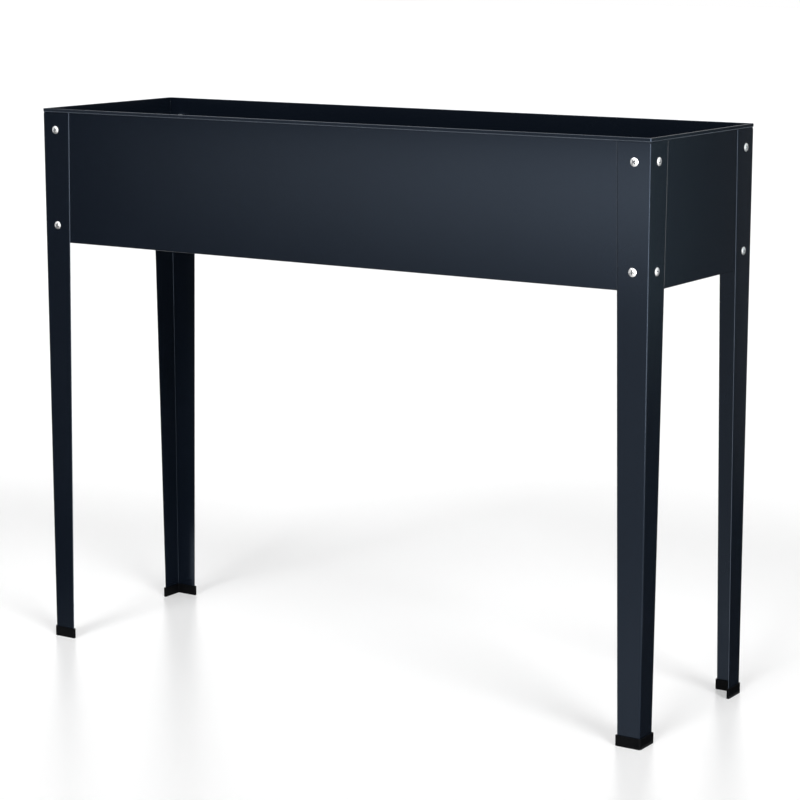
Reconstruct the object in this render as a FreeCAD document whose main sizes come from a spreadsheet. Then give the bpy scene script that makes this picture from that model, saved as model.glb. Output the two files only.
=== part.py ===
"""Raised garden bed: a folded sheet-steel trough on four tapered angle legs.

Millimetres, +Z up. The origin is on the floor under the middle of the bed. X runs along the bed,
and the front looks along -Y.
"""
import FreeCAD, Part
import math
import os

import Sketcher

# Driving dimensions, in millimetres
SIZES = {
    # Whole bed
    "bed_length": 1000.0,         # over the outer faces of the legs, along X
    "bed_width": 300.0,           # over the outer faces of the legs, along Y
    "bed_height": 800.0,          # floor to the top of the rim
    # Side and end panels
    "panel_depth": 196.0,         # top of the rim to the underside of the lower fold
    "panel_sheet": 0.8,
    "hem_depth": 5.0,             # height of the rim's outward hem
    "hem_gap": 0.4,               # daylight between the hem's two leaves
    "fold_radius": 1.0,           # inside radius of the panels' and the tray's folds
    "ledge_width": 16.0,          # inward ledge along the lower edge, from the panel's outer face
    "corner_play": 0.2,           # mitred end of a panel to the inside of the leg's fold
    # Legs
    "leg_sheet": 1.0,
    "leg_head_width": 49.0,       # flange at the rim
    "leg_foot_width": 34.0,       # flange at the floor end
    "leg_fold_radius": 1.0,       # inside radius of the leg's fold
    "leg_head_gap": 0.3,          # head of the leg to the hem above it
    "relief_width": 11.0,         # notch in each flange beside the fold, at the head
    "relief_depth": 4.0,
    # Screws and their nuts
    "screw_inset": 23.0,          # outer corner of the leg to a screw's axis
    "upper_screw_drop": 31.0,     # top of the rim to the upper screws
    "screw_pitch": 140.0,         # upper to lower screws
    "screw_hole": 6.6,
    "thread_diameter": 6.0,
    "screw_length": 10.0,         # under the head
    "head_diameter": 12.0,
    "head_height": 3.2,
    "head_shoulder": 1.7,         # bevel round the top of the head
    "cross_span": 6.4,            # driving recess, tip to tip
    "cross_width": 1.4,
    "cross_depth": 1.8,
    "nut_flats": 10.0,
    "nut_height": 5.0,
    "thread_play": 0.1,           # screw to nut, all round
    # Foot caps
    "cap_height": 15.0,
    "cap_wall": 1.6,
    "cap_sole": 2.5,              # under the end of the leg
    "cap_play": 0.15,             # leg to socket, all round
    "cap_round": 1.0,             # inside corner of the cap
    "cap_bevel": 1.0,             # edge of the sole
    # Base tray
    "base_sheet": 0.8,
    "base_lip": 14.0,             # height of the tray's turned-down edges
    "base_play": 0.5,             # tray to the inside of the panels' folds
    "base_notch": 4.0,            # square corner relief between two turned-down edges
    "drain_hole": 10.0,
    "drain_columns": 4,
    "drain_end_inset": 140.0,     # end of the bed to the first column of drain holes
    "drain_side_inset": 90.0,     # side of the bed to a row of drain holes
}

# How far a cutting outline reaches past the material that it cuts
OVERCUT = 5.0

# Heights closer than this count as one level
LEVEL_TOLERANCE = 1e-4

# Flats of the nut, and of the bars that stand for a screw's round head and its thread
NUT_SIDES = 6
HEAD_SIDES = 20
THREAD_SIDES = 12

# Where each leg stands, as signs along X and Y. A quarter turn about Z carries one leg to the next.
LEG_CORNERS = {
    "front_right": (1, -1),
    "rear_right": (1, 1),
    "rear_left": (-1, 1),
    "front_left": (-1, -1),
}
QUARTER_TURN_ANGLE = 90.0

DOC = FreeCAD.newDocument("raised_garden_bed")


class Size:
    """A length taken from the sheet, or worked out from others: its value now, and its formula."""

    def __init__(self, value, formula):
        self.value = float(value)
        self.formula = formula

    def __add__(self, other):
        other = as_size(other)
        return Size(self.value + other.value, f"({self.formula} + {other.formula})")

    def __sub__(self, other):
        other = as_size(other)
        return Size(self.value - other.value, f"({self.formula} - {other.formula})")

    def __mul__(self, other):
        other = as_size(other)
        return Size(self.value * other.value, f"({self.formula} * {other.formula})")

    def __truediv__(self, other):
        other = as_size(other)
        return Size(self.value / other.value, f"({self.formula} / {other.formula})")

    def __neg__(self):
        return Size(-self.value, f"(-1 * {self.formula})")


def as_size(number):
    """The number itself as a Size, so that plain counts and halves can join a formula."""
    return number if isinstance(number, Size) else Size(number, repr(float(number)))


def make_sheet():
    """The spreadsheet of driving dimensions, and each of them as a Size under its own name."""
    sheet = DOC.addObject("Spreadsheet::Sheet", "Sizes")
    for row, (name, value) in enumerate(SIZES.items(), start=1):
        sheet.set(f"A{row}", name)
        sheet.set(f"B{row}", str(value))
        sheet.setAlias(f"B{row}", name)
    DOC.recompute()
    return {name: Size(sheet.get(name), f"Sizes.{name}") for name in SIZES}


S = make_sheet()
ZERO = as_size(0)

# Levels and faces that several pieces share
RIM_TOP = S["bed_height"]
PANEL_BOTTOM = RIM_TOP - S["panel_depth"]
LEDGE_TOP = PANEL_BOTTOM + S["panel_sheet"]
LEG_TOP = RIM_TOP - S["hem_depth"] - S["leg_head_gap"]
LEG_BOTTOM = S["cap_sole"]
UPPER_SCREW = RIM_TOP - S["upper_screw_drop"]
LOWER_SCREW = UPPER_SCREW - S["screw_pitch"]
HEM_PROUD = S["hem_gap"] + S["panel_sheet"] - S["leg_sheet"]
CLAMPED = S["leg_sheet"] + S["panel_sheet"]


# Sketching and placing

def bind(target, path, size):
    """Ties one property of an object to the sheet."""
    target.setExpression(path, as_size(size).formula)


def new_body(label):
    body = DOC.addObject("PartDesign::Body", label)
    body.Label = label
    return body


def on_plane(body, item, role, lift=None):
    """Sets a sketch or primitive on one of the body's own origin planes, lifted along its normal."""
    plane = next(origin for origin in body.Origin.OriginFeatures if origin.Role == role)
    item.AttachmentSupport = (plane, [""])
    item.MapMode = "FlatFace"
    if lift is not None:
        bind(item, "AttachmentOffset.Base.z", lift)
    return item


def new_sketch(body, role, name, lift=None):
    return on_plane(body, body.newObject("Sketcher::SketchObject", name), role, lift)


def fix_coordinate(sketch, kind, item, end, size):
    """Holds one end of a sketch item at a coordinate from the sketch's origin."""
    if size is ZERO:
        axis = -2 if kind == "DistanceX" else -1
        sketch.addConstraint(Sketcher.Constraint("PointOnObject", item, end, axis))
        return
    index = sketch.addConstraint(Sketcher.Constraint(kind, -1, 1, item, end, size.value))
    bind(sketch, f"Constraints[{index}]", size)


def draw_polygon(sketch, points):
    """Closed straight-sided outline through points given as pairs of Sizes."""
    corners = [FreeCAD.Vector(x.value, y.value, 0) for x, y in points]
    sides = [
        sketch.addGeometry(Part.LineSegment(corner, corners[(i + 1) % len(corners)]), False)
        for i, corner in enumerate(corners)
    ]
    for i, side in enumerate(sides):
        sketch.addConstraint(Sketcher.Constraint("Coincident", side, 2, sides[(i + 1) % len(sides)], 1))
    for side, (x, y) in zip(sides, points):
        fix_coordinate(sketch, "DistanceX", side, 1, x)
        fix_coordinate(sketch, "DistanceY", side, 1, y)


def draw_square_sided(sketch, corners):
    """Closed outline of level and upright sides. A corner is (x, y) or, rounded, (x, y, radius)."""
    count = len(corners)
    points = [FreeCAD.Vector(corner[0].value, corner[1].value, 0) for corner in corners]
    rounds = [corner[2] if len(corner) == 3 else None for corner in corners]
    ways = [(points[(i + 1) % count] - points[i]).normalize() for i in range(count)]
    reach = [radius.value if radius else 0.0 for radius in rounds]

    sides = []
    for i in range(count):
        start = points[i] + ways[i] * reach[i]
        finish = points[(i + 1) % count] - ways[i] * reach[(i + 1) % count]
        sides.append(sketch.addGeometry(Part.LineSegment(start, finish), False))

    for i, radius in enumerate(rounds):
        before = sides[i - 1]
        after = sides[i]
        if radius is None:
            sketch.addConstraint(Sketcher.Constraint("Coincident", before, 2, after, 1))
            continue
        way_in = ways[i - 1]
        way_out = ways[i]
        start = points[i] - way_in * reach[i]
        finish = points[i] + way_out * reach[i]
        centre = start + way_out * reach[i]
        middle = centre + (points[i] - centre).normalize() * reach[i]
        turns_left = way_in.cross(way_out).z > 0
        arc = sketch.addGeometry(Part.Arc(start, middle, finish), False)
        first, last = (1, 2) if turns_left else (2, 1)
        sketch.addConstraint(Sketcher.Constraint("Tangent", before, 2, arc, first))
        sketch.addConstraint(Sketcher.Constraint("Tangent", arc, last, after, 1))
        index = sketch.addConstraint(Sketcher.Constraint("Radius", arc, radius.value))
        bind(sketch, f"Constraints[{index}]", radius)

    for side, way, corner in zip(sides, ways, corners):
        upright = abs(way.y) > abs(way.x)
        sketch.addConstraint(Sketcher.Constraint("Vertical" if upright else "Horizontal", side))
        fix_coordinate(sketch, "DistanceX" if upright else "DistanceY", side, 1,
                       corner[0] if upright else corner[1])


def draw_circles(sketch, centres, diameter):
    """Circles of one diameter at centres given as pairs of Sizes."""
    for x, y in centres:
        centre = FreeCAD.Vector(x.value, y.value, 0)
        circle = Part.Circle(centre, FreeCAD.Vector(0, 0, 1), diameter.value / 2)
        item = sketch.addGeometry(circle, False)
        fix_coordinate(sketch, "DistanceX", item, 3, x)
        fix_coordinate(sketch, "DistanceY", item, 3, y)
        index = sketch.addConstraint(Sketcher.Constraint("Diameter", item, diameter.value))
        bind(sketch, f"Constraints[{index}]", diameter)


def pad(body, sketch, name, length, symmetric=False):
    feature = body.newObject("PartDesign::Pad", name)
    feature.Profile = sketch
    feature.SideType = "Symmetric" if symmetric else "One side"
    bind(feature, "Length", length)
    DOC.recompute()
    return feature


def cut(body, sketch, name, depth=None, upward=False):
    """A pocket of a given depth, or right through both ways when no depth is given."""
    volume = body.Shape.Volume
    feature = body.newObject("PartDesign::Pocket", name)
    feature.Profile = sketch
    if depth is None:
        feature.Type = "ThroughAll"
        feature.SideType = "Symmetric"
    else:
        feature.Reversed = upward
        bind(feature, "Length", depth)
    DOC.recompute()
    if not body.Shape.Volume < volume:
        raise RuntimeError(f"{body.Label}: {name} removes nothing")
    return feature


def dress_edges(body, base, name, kind, size, chosen):
    """A Fillet or a Chamfer along the edges of a feature that the test named chosen picks out."""
    edges = [f"Edge{i}" for i, edge in enumerate(base.Shape.Edges, start=1) if chosen(edge)]
    feature = body.newObject(f"PartDesign::{kind}", name)
    feature.Base = (base, edges)
    bind(feature, "Radius" if kind == "Fillet" else "Size", size)
    DOC.recompute()
    return feature


def prism(body, name, kind, sides, radius, bottom, height):
    """A regular bar along Z, added to the body or taken from it. Its radius is to its corners."""
    feature = body.newObject(f"PartDesign::{kind}Prism", name)
    on_plane(body, feature, "XY_Plane", bottom)
    feature.Polygon = sides
    bind(feature, "Circumradius", radius)
    bind(feature, "Height", height)
    DOC.recompute()
    return feature


def at_level(edge, level):
    """Whether an edge lies level at one height."""
    box = edge.BoundBox
    return max(abs(box.ZMin - level.value), abs(box.ZMax - level.value)) < LEVEL_TOLERANCE


def stand(piece, x, y, quarter_turns):
    """Turns a piece about Z and sets it on a plan position tied to the sheet."""
    turn = FreeCAD.Rotation(FreeCAD.Vector(0, 0, 1), QUARTER_TURN_ANGLE * quarter_turns)
    piece.Placement = FreeCAD.Placement(FreeCAD.Vector(x.value, y.value, 0), turn)
    if x is not ZERO:
        bind(piece, "Placement.Base.x", x)
    if y is not ZERO:
        bind(piece, "Placement.Base.y", y)


# Pieces

def panel_outline(reach):
    """Section of a panel that faces -Y: lower ledge, web, and the hem folded out over the rim."""
    outer = S["leg_sheet"] - reach
    inner = outer + S["panel_sheet"]
    leaf_inner = outer - S["hem_gap"]
    leaf_outer = leaf_inner - S["panel_sheet"]
    hem_bottom = RIM_TOP - S["hem_depth"]
    ledge_edge = outer + S["ledge_width"]
    return [
        (outer, PANEL_BOTTOM, S["fold_radius"] + S["panel_sheet"]),
        (outer, RIM_TOP - S["panel_sheet"]),
        (leaf_inner, RIM_TOP - S["panel_sheet"]),
        (leaf_inner, hem_bottom),
        (leaf_outer, hem_bottom),
        (leaf_outer, RIM_TOP, S["panel_sheet"]),
        (inner, RIM_TOP, S["panel_sheet"]),
        (inner, LEDGE_TOP, S["fold_radius"]),
        (ledge_edge, LEDGE_TOP),
        (ledge_edge, PANEL_BOTTOM),
    ]


def mitre_outline(run, reach, side):
    """Plan of what the 45-degree mitre takes off one end of a panel, side being -1 or 1 along X."""
    corner_x = run / 2 + HEM_PROUD
    outside = corner_x + OVERCUT
    front = -(reach + HEM_PROUD) - OVERCUT
    back = S["leg_sheet"] - reach + S["ledge_width"] + OVERCUT
    mitre_front = corner_x - S["leg_fold_radius"] - S["corner_play"] + OVERCUT
    mitre_back = mitre_front - (back - front)
    outline = [(mitre_front, front), (outside, front), (outside, back), (mitre_back, back)]
    return [(x * side, y) for x, y in outline]


def make_panel(label, run, reach, quarter_turns):
    """A folded panel of length run whose leg face stands at reach from the bed's middle."""
    body = new_body(label)
    section = new_sketch(body, "YZ_Plane", f"{label}_section")
    draw_square_sided(section, panel_outline(reach))
    pad(body, section, f"{label}_sheet", run + HEM_PROUD * 2, symmetric=True)

    for end, side in (("first", -1), ("second", 1)):
        mitre = new_sketch(body, "XY_Plane", f"{label}_{end}_mitre")
        draw_polygon(mitre, mitre_outline(run, reach, side))
        cut(body, mitre, f"{label}_{end}_mitre_cut")

    holes = new_sketch(body, "XZ_Plane", f"{label}_holes")
    screw_x = run / 2 - S["screw_inset"]
    centres = [(x, z) for x in (-screw_x, screw_x) for z in (LOWER_SCREW, UPPER_SCREW)]
    draw_circles(holes, centres, S["screw_hole"])
    cut(body, holes, f"{label}_screw_holes")
    stand(body, ZERO, ZERO, quarter_turns)
    return body


def make_base_tray():
    """Drop-in base whose turned-down edges stand on the panels' ledges, pierced for drainage."""
    inset = CLAMPED + S["fold_radius"] + S["base_play"]
    half_x = S["bed_length"] / 2 - inset
    half_y = S["bed_width"] / 2 - inset
    notch_x = half_x - S["base_notch"]
    notch_y = half_y - S["base_notch"]
    top = LEDGE_TOP + S["base_lip"]

    body = new_body("base_tray")
    plan = new_sketch(body, "XY_Plane", "base_plan", LEDGE_TOP)
    draw_square_sided(plan, [
        (-notch_x, -half_y), (notch_x, -half_y), (notch_x, -notch_y), (half_x, -notch_y),
        (half_x, notch_y), (notch_x, notch_y), (notch_x, half_y), (-notch_x, half_y),
        (-notch_x, notch_y), (-half_x, notch_y), (-half_x, -notch_y), (-notch_x, -notch_y),
    ])
    block = pad(body, plan, "base_block", S["base_lip"])

    def on_outer_fold(edge):
        box = edge.BoundBox
        return at_level(edge, top) and max(box.XLength, box.YLength) > 2 * S["base_notch"].value
    outer_fold = S["fold_radius"] + S["base_sheet"]
    dress_edges(body, block, "base_outer_folds", "Fillet", outer_fold, on_outer_fold)

    hollow = new_sketch(body, "XY_Plane", "base_hollow", LEDGE_TOP)
    inner_x = half_x - S["base_sheet"]
    inner_y = half_y - S["base_sheet"]
    draw_square_sided(hollow, [
        (-inner_x, -inner_y), (inner_x, -inner_y), (inner_x, inner_y), (-inner_x, inner_y),
    ])
    under = cut(body, hollow, "base_underside", S["base_lip"] - S["base_sheet"], upward=True)

    def on_inner_fold(edge):
        box = edge.BoundBox
        long_enough = max(box.XLength, box.YLength) > 2 * S["base_notch"].value
        return at_level(edge, top - S["base_sheet"]) and long_enough
    dress_edges(body, under, "base_inner_folds", "Fillet", S["fold_radius"], on_inner_fold)

    drains = new_sketch(body, "XY_Plane", "drain_column")
    drain_x = S["drain_end_inset"] - S["bed_length"] / 2
    drain_y = S["bed_width"] / 2 - S["drain_side_inset"]
    draw_circles(drains, [(drain_x, -drain_y), (drain_x, drain_y)], S["drain_hole"])
    first = cut(body, drains, "drain_holes")

    row = body.newObject("PartDesign::LinearPattern", "drain_row")
    row.Originals = [first]
    row.Direction = (drains, ["H_Axis"])
    bind(row, "Length", S["bed_length"] - S["drain_end_inset"] * 2)
    bind(row, "Occurrences", S["drain_columns"])
    body.Tip = row
    DOC.recompute()
    return body


def angle_outline(width, inner_round, grow=ZERO):
    """Plan of the leg's angle with its outer corner at the origin and its flanges along -X and +Y.

    The outline stands off the faces of the angle by grow, and its flanges end at width.
    """
    outer_round = S["leg_fold_radius"] + S["leg_sheet"] + grow
    inside = S["leg_sheet"] + grow
    return [
        (grow, -grow, outer_round),
        (grow, width),
        (-inside, width),
        (-inside, inside, inner_round),
        (-width, inside),
        (-width, -grow),
    ]


def taper_outline():
    """What is sheared off one flange, in distance from the fold and height."""
    wide = S["leg_head_width"]
    narrow = S["leg_foot_width"]
    outside = wide + OVERCUT
    below = LEG_BOTTOM - OVERCUT
    return [(wide, LEG_TOP), (narrow, LEG_BOTTOM), (narrow, below), (outside, below), (outside, LEG_TOP)]


def make_leg(corner):
    """Folded angle leg: flanges sheared to a taper, holed for screws, and notched at the head."""
    label = f"leg_{corner}"
    body = new_body(label)
    section = new_sketch(body, "XY_Plane", f"{label}_section", LEG_BOTTOM)
    draw_square_sided(section, angle_outline(S["leg_head_width"], S["leg_fold_radius"]))
    pad(body, section, f"{label}_angle", LEG_TOP - LEG_BOTTOM)

    for flange, role, way in (("front", "XZ_Plane", -1), ("side", "YZ_Plane", 1)):
        taper = new_sketch(body, role, f"{label}_{flange}_taper")
        draw_polygon(taper, [(x * way, z) for x, z in taper_outline()])
        cut(body, taper, f"{label}_{flange}_taper_cut")
        holes = new_sketch(body, role, f"{label}_{flange}_holes")
        centres = [(S["screw_inset"] * way, z) for z in (LOWER_SCREW, UPPER_SCREW)]
        draw_circles(holes, centres, S["screw_hole"])
        cut(body, holes, f"{label}_{flange}_screw_holes")

    relief = new_sketch(body, "XY_Plane", f"{label}_relief", LEG_TOP)
    overcut = as_size(OVERCUT)
    draw_square_sided(relief, [
        (-S["relief_width"], -overcut), (overcut, -overcut),
        (overcut, S["relief_width"]), (-S["relief_width"], S["relief_width"]),
    ])
    cut(body, relief, f"{label}_relief_notch", S["relief_depth"])
    return body


def make_foot_cap(corner):
    """Moulded cap with an L-shaped socket that takes the lower end of a leg."""
    rise = (S["cap_height"] - LEG_BOTTOM) / (LEG_TOP - LEG_BOTTOM)
    flange = S["leg_foot_width"] + (S["leg_head_width"] - S["leg_foot_width"]) * rise
    socket_width = flange + S["cap_play"]
    shell = S["cap_play"] + S["cap_wall"]

    label = f"foot_cap_{corner}"
    body = new_body(label)
    plan = new_sketch(body, "XY_Plane", f"{label}_plan")
    arm = socket_width + S["cap_wall"]
    draw_square_sided(plan, angle_outline(arm, S["cap_round"], shell))
    block = pad(body, plan, f"{label}_block", S["cap_height"])

    def on_sole(edge):
        return at_level(edge, ZERO)
    dress_edges(body, block, f"{label}_sole_edge", "Chamfer", S["cap_bevel"], on_sole)

    socket = new_sketch(body, "XY_Plane", f"{label}_socket", S["cap_height"])
    socket_round = S["leg_fold_radius"] - S["cap_play"]
    draw_square_sided(socket, angle_outline(socket_width, socket_round, S["cap_play"]))
    cut(body, socket, f"{label}_leg_socket", S["cap_height"] - S["cap_sole"])
    return body


def make_screw():
    """Pan-head screw along Z, the underside of its head at the origin."""
    body = new_body("screw")
    head = prism(body, "screw_head", "Additive", HEAD_SIDES, S["head_diameter"] / 2,
                 ZERO, S["head_height"])

    def on_crown(edge):
        return at_level(edge, S["head_height"])
    dress_edges(body, head, "screw_shoulder", "Chamfer", S["head_shoulder"], on_crown)

    cross = new_sketch(body, "XY_Plane", "screw_cross", S["head_height"])
    arm = S["cross_span"] / 2
    half = S["cross_width"] / 2
    draw_square_sided(cross, [
        (arm, -half), (arm, half), (half, half), (half, arm), (-half, arm), (-half, half),
        (-arm, half), (-arm, -half), (-half, -half), (-half, -arm), (half, -arm), (half, -half),
    ])
    cut(body, cross, "screw_recess", S["cross_depth"])
    prism(body, "screw_thread", "Additive", THREAD_SIDES, S["thread_diameter"] / 2,
          -S["screw_length"], S["screw_length"])
    return body


def make_nut():
    """Hexagon nut on the screw's axis, bearing on the inside of the panel."""
    body = new_body("nut")
    bottom = -(CLAMPED + S["nut_height"])
    corner = S["nut_flats"] / 2 / math.cos(math.pi / NUT_SIDES)
    thread = S["thread_diameter"] / 2 + S["thread_play"]
    prism(body, "nut_hexagon", "Additive", NUT_SIDES, corner, bottom, S["nut_height"])
    prism(body, "nut_thread", "Subtractive", THREAD_SIDES, thread, bottom, S["nut_height"])
    return body


def place_on_leg(fastener):
    """The four places of a fastener on one leg, in the leg's own frame: two to a flange."""
    outward = {
        "front": FreeCAD.Rotation(FreeCAD.Vector(1, 0, 0), QUARTER_TURN_ANGLE),
        "side": FreeCAD.Rotation(FreeCAD.Vector(0, 1, 0), QUARTER_TURN_ANGLE),
    }
    places = []
    for flange, turn in outward.items():
        for level, height in (("lower", LOWER_SCREW), ("upper", UPPER_SCREW)):
            link = DOC.addObject("App::Link", f"{fastener.Label}_{flange}_{level}")
            link.LinkedObject = fastener
            link.LinkPlacement = FreeCAD.Placement(FreeCAD.Vector(0, 0, 0), turn)
            if flange == "front":
                bind(link, "LinkPlacement.Base.x", -S["screw_inset"])
            else:
                bind(link, "LinkPlacement.Base.y", S["screw_inset"])
            bind(link, "LinkPlacement.Base.z", height)
            places.append(link)
    return places


def make_group(label, places):
    """One leg's set of a fastener, as separate solids."""
    group = DOC.addObject("Part::Compound", label)
    group.Label = label
    group.Links = places
    DOC.recompute()
    return group


# Assembly

def make_bed():
    """Every piece of the bed at its place, in the order of assembly."""
    length = S["bed_length"]
    width = S["bed_width"]
    pieces = [
        make_panel("front_panel", length, width / 2, 0),
        make_panel("right_panel", width, length / 2, 1),
        make_panel("rear_panel", length, width / 2, 2),
        make_panel("left_panel", width, length / 2, 3),
        make_base_tray(),
    ]
    screw_places = place_on_leg(make_screw())
    nut_places = place_on_leg(make_nut())
    for quarter_turns, (corner, (side_x, side_y)) in enumerate(LEG_CORNERS.items()):
        at_corner = [
            make_leg(corner),
            make_foot_cap(corner),
            make_group(f"screws_{corner}", screw_places),
            make_group(f"nuts_{corner}", nut_places),
        ]
        for piece in at_corner:
            stand(piece, length / 2 * side_x, width / 2 * side_y, quarter_turns)
        pieces += at_corner
    DOC.recompute()
    return pieces


def check(pieces):
    """Stops if any object failed to compute or any piece has no sound shape."""
    for item in DOC.Objects:
        if "Invalid" in item.State or "Error" in item.State:
            raise RuntimeError(f"{item.Label} did not compute: {item.State}")
    for piece in pieces:
        if piece.Shape.isNull() or not piece.Shape.isValid() or not piece.Shape.Solids:
            raise RuntimeError(f"{piece.Label} has no sound solid")


def write(pieces):
    os.makedirs("parts", exist_ok=True)
    for piece in pieces:
        piece.Shape.exportStep(os.path.join("parts", f"{piece.Label}.step"))
        print(piece.Label, len(piece.Shape.Solids), "solids", round(piece.Shape.Volume / 1000, 2), "cm3")


bed = make_bed()
check(bed)
write(bed)
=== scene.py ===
"""Looks of the raised garden bed: folded sheet steel, moulded feet, zinc fasteners and a plain studio.

Lengths are millimetres in the classes, and each mesh is scaled to metres when it becomes a piece. The
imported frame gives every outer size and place. The classes add what the eye looks for there: rounded
folds, softened cut edges, threads, driving recesses and finishes.
"""

import logging
import math
from dataclasses import dataclass, replace
from enum import Enum
from typing import Iterator, Sequence

import bmesh
import bpy
from bmesh.types import BMEdge, BMesh, BMFace, BMVert
from mathutils import Matrix, Vector


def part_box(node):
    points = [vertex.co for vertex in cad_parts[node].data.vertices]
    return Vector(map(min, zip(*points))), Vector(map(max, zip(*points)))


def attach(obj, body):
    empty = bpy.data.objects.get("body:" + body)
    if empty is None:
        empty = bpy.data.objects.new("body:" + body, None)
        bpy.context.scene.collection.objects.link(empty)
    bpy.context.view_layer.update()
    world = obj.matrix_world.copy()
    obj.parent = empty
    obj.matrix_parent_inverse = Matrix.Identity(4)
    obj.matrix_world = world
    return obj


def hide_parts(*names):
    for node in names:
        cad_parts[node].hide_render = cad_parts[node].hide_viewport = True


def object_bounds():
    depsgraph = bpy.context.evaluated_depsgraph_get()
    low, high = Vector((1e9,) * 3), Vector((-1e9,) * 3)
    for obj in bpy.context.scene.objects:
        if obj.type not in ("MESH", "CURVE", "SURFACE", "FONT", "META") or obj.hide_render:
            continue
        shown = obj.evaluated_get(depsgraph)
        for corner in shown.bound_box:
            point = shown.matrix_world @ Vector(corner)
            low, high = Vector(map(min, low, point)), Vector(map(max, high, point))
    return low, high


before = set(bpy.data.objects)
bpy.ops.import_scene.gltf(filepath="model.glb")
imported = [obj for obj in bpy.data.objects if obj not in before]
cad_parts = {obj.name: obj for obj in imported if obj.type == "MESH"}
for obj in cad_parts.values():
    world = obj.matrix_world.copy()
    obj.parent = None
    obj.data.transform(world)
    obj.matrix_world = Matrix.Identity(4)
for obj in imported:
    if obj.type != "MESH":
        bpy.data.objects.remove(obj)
CAD_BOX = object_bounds()

LOG = logging.getLogger("raised_garden_bed")
BODY = "root"

MM = 0.001
QUARTER_TURN = math.pi / 2
X_AXIS, Y_AXIS, Z_AXIS = Vector((1, 0, 0)), Vector((0, 1, 0)), Vector((0, 0, 1))

# Sheet of the legs, and their screws: how far from the fold, how high, and in what holes
LEG_SHEET = 1.0
SCREW_INSET = 23.0
SCREW_HEIGHTS = (629.0, 769.0)
HOLE_RADIUS = 3.3

# Edges that turn by more than this are cut edges, not steps of a rounded fold
CUT_EDGE_TURN = math.radians(35)
# Faces that meet at less than this lie in one plane
FLAT_TURN = math.radians(1)
# Flats across a fold, across a coated edge and round a hole
FOLD_STEPS = 6
COAT_STEPS = 3
HOLE_STEPS = 32
# A hole starts as a square patch: how far it reaches and the width of its border, in radii of the hole
PATCH_REACH = 1.6
PATCH_BORDER = 0.1
# Least cosine between a hole's axis and the normal of a wall that it passes
SQUARE_ON = 0.999
# Least share of the normal that points each way where the hem's lip slants outward and down
# Those lip faces take the paler coat, a painted highlight along the hem's lower edge
LIP_SLANT = 0.5
# Least product of the normal's two level shares where a leg's free edge is rolled
# Those rolled faces take the paler coat, a painted highlight along each free edge
ROLL_SLANT = 0.4
SLICE_TOLERANCE = 1e-4
# Edges shorter than this are leftovers of a cut
LEAST_EDGE = 1e-3

# Sockets of a colour mix, which share their names with its other kinds
MIX_FACTOR, MIX_A, MIX_B = 0, 6, 7
MIX_COLOUR = 2
# Octaves of noise in a finish's tone and in its grain
TONE_DETAIL, GRAIN_DETAIL = 3.0, 2.0


# Units and the frame

def linear(code: str) -> tuple[float, float, float, float]:
    """Turns an sRGB hex value to linear light.

    Args:
        code: Colour as "#rrggbb".

    Returns:
        Red, green, blue and an alpha of 1.
    """
    shares = [byte / 255 for byte in bytes.fromhex(code.removeprefix("#"))]
    # The curve that sRGB itself defines
    levels = [s / 12.92 if s <= 0.04045 else ((s + 0.055) / 1.055) ** 2.4 for s in shares]
    return (*levels, 1.0)


def per_metre(size: float) -> float:
    """Scale of a texture whose features are of a size in millimetres."""
    return 1.0 / (size * MM)


def box_of(node: str) -> tuple[Vector, Vector]:
    """Lowest and highest corner of a node in millimetres."""
    low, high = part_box(node)
    return low / MM, high / MM


class Position(Enum):
    """Positions round the bed. A quarter turn about Z carries each to the next."""

    @property
    def label(self) -> str:
        """Position's name as the nodes spell it."""
        return self.name.lower()

    @property
    def turn(self) -> Matrix:
        """Turn from the first position to this one."""
        return Matrix.Rotation(self.value * QUARTER_TURN, 4, "Z")


class Corner(Position):
    """Corners of the bed, where the legs stand."""

    FRONT_RIGHT = 0
    REAR_RIGHT = 1
    REAR_LEFT = 2
    FRONT_LEFT = 3

    @property
    def leg_node(self) -> str:
        """Node of the leg that stands here."""
        return f"leg_{self.label}"

    @property
    def cap_node(self) -> str:
        """Node of the leg's foot cap."""
        return f"foot_cap_{self.label}"

    def place(self) -> Matrix:
        """Frame of the corner: on the floor at the leg's fold, with the flanges along -X and +Y.

        Returns:
            What carries a piece from that frame into the bed's.
        """
        outward = self.turn @ Vector((1, -1, 0))
        low, high = box_of(self.leg_node)
        x = high.x if outward.x > 0 else low.x
        y = high.y if outward.y > 0 else low.y
        return Matrix.Translation((x, y, 0)) @ self.turn


class Side(Position):
    """Sides of the bed, one panel to each."""

    FRONT = 0
    RIGHT = 1
    REAR = 2
    LEFT = 3

    @property
    def node(self) -> str:
        """Node of the panel on this side."""
        return f"{self.label}_panel"

    def front_box(self) -> tuple[Vector, Vector]:
        """Box of the panel, turned back so that the panel faces -Y.

        Returns:
            Lowest and highest corner in millimetres.
        """
        back = self.turn.inverted()
        first, second = (back @ corner for corner in box_of(self.node))
        return Vector(map(min, first, second)), Vector(map(max, first, second))


# Mesh steps that several pieces share

def only(kind: type, items: Sequence[object]) -> list:
    """Those of an operator's results that are of one kind."""
    return [item for item in items if isinstance(item, kind)]


def outline_face(bm: BMesh, corners: Sequence[tuple[float, float, float]], plane: Matrix) -> BMFace:
    """Draws a closed outline as one face, with rounded corners.

    Args:
        bm: Empty mesh to draw in.
        corners: Two coordinates in the plane and the corner's radius, which is 0 where it is sharp.
        plane: Carries the plane's own X and Y into place.

    Returns:
        The face.
    """
    verts = [bm.verts.new(plane @ Vector((u, v, 0))) for u, v, _ in corners]
    bm.faces.new(verts)
    for vert, (_, _, radius) in zip(verts, corners):
        if radius:
            bmesh.ops.bevel(
                bm, geom=[vert], offset=radius, offset_type="OFFSET", segments=FOLD_STEPS, profile=0.5,
                affect="VERTICES", material=-1, clamp_overlap=False)
    return next(iter(bm.faces))


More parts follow.
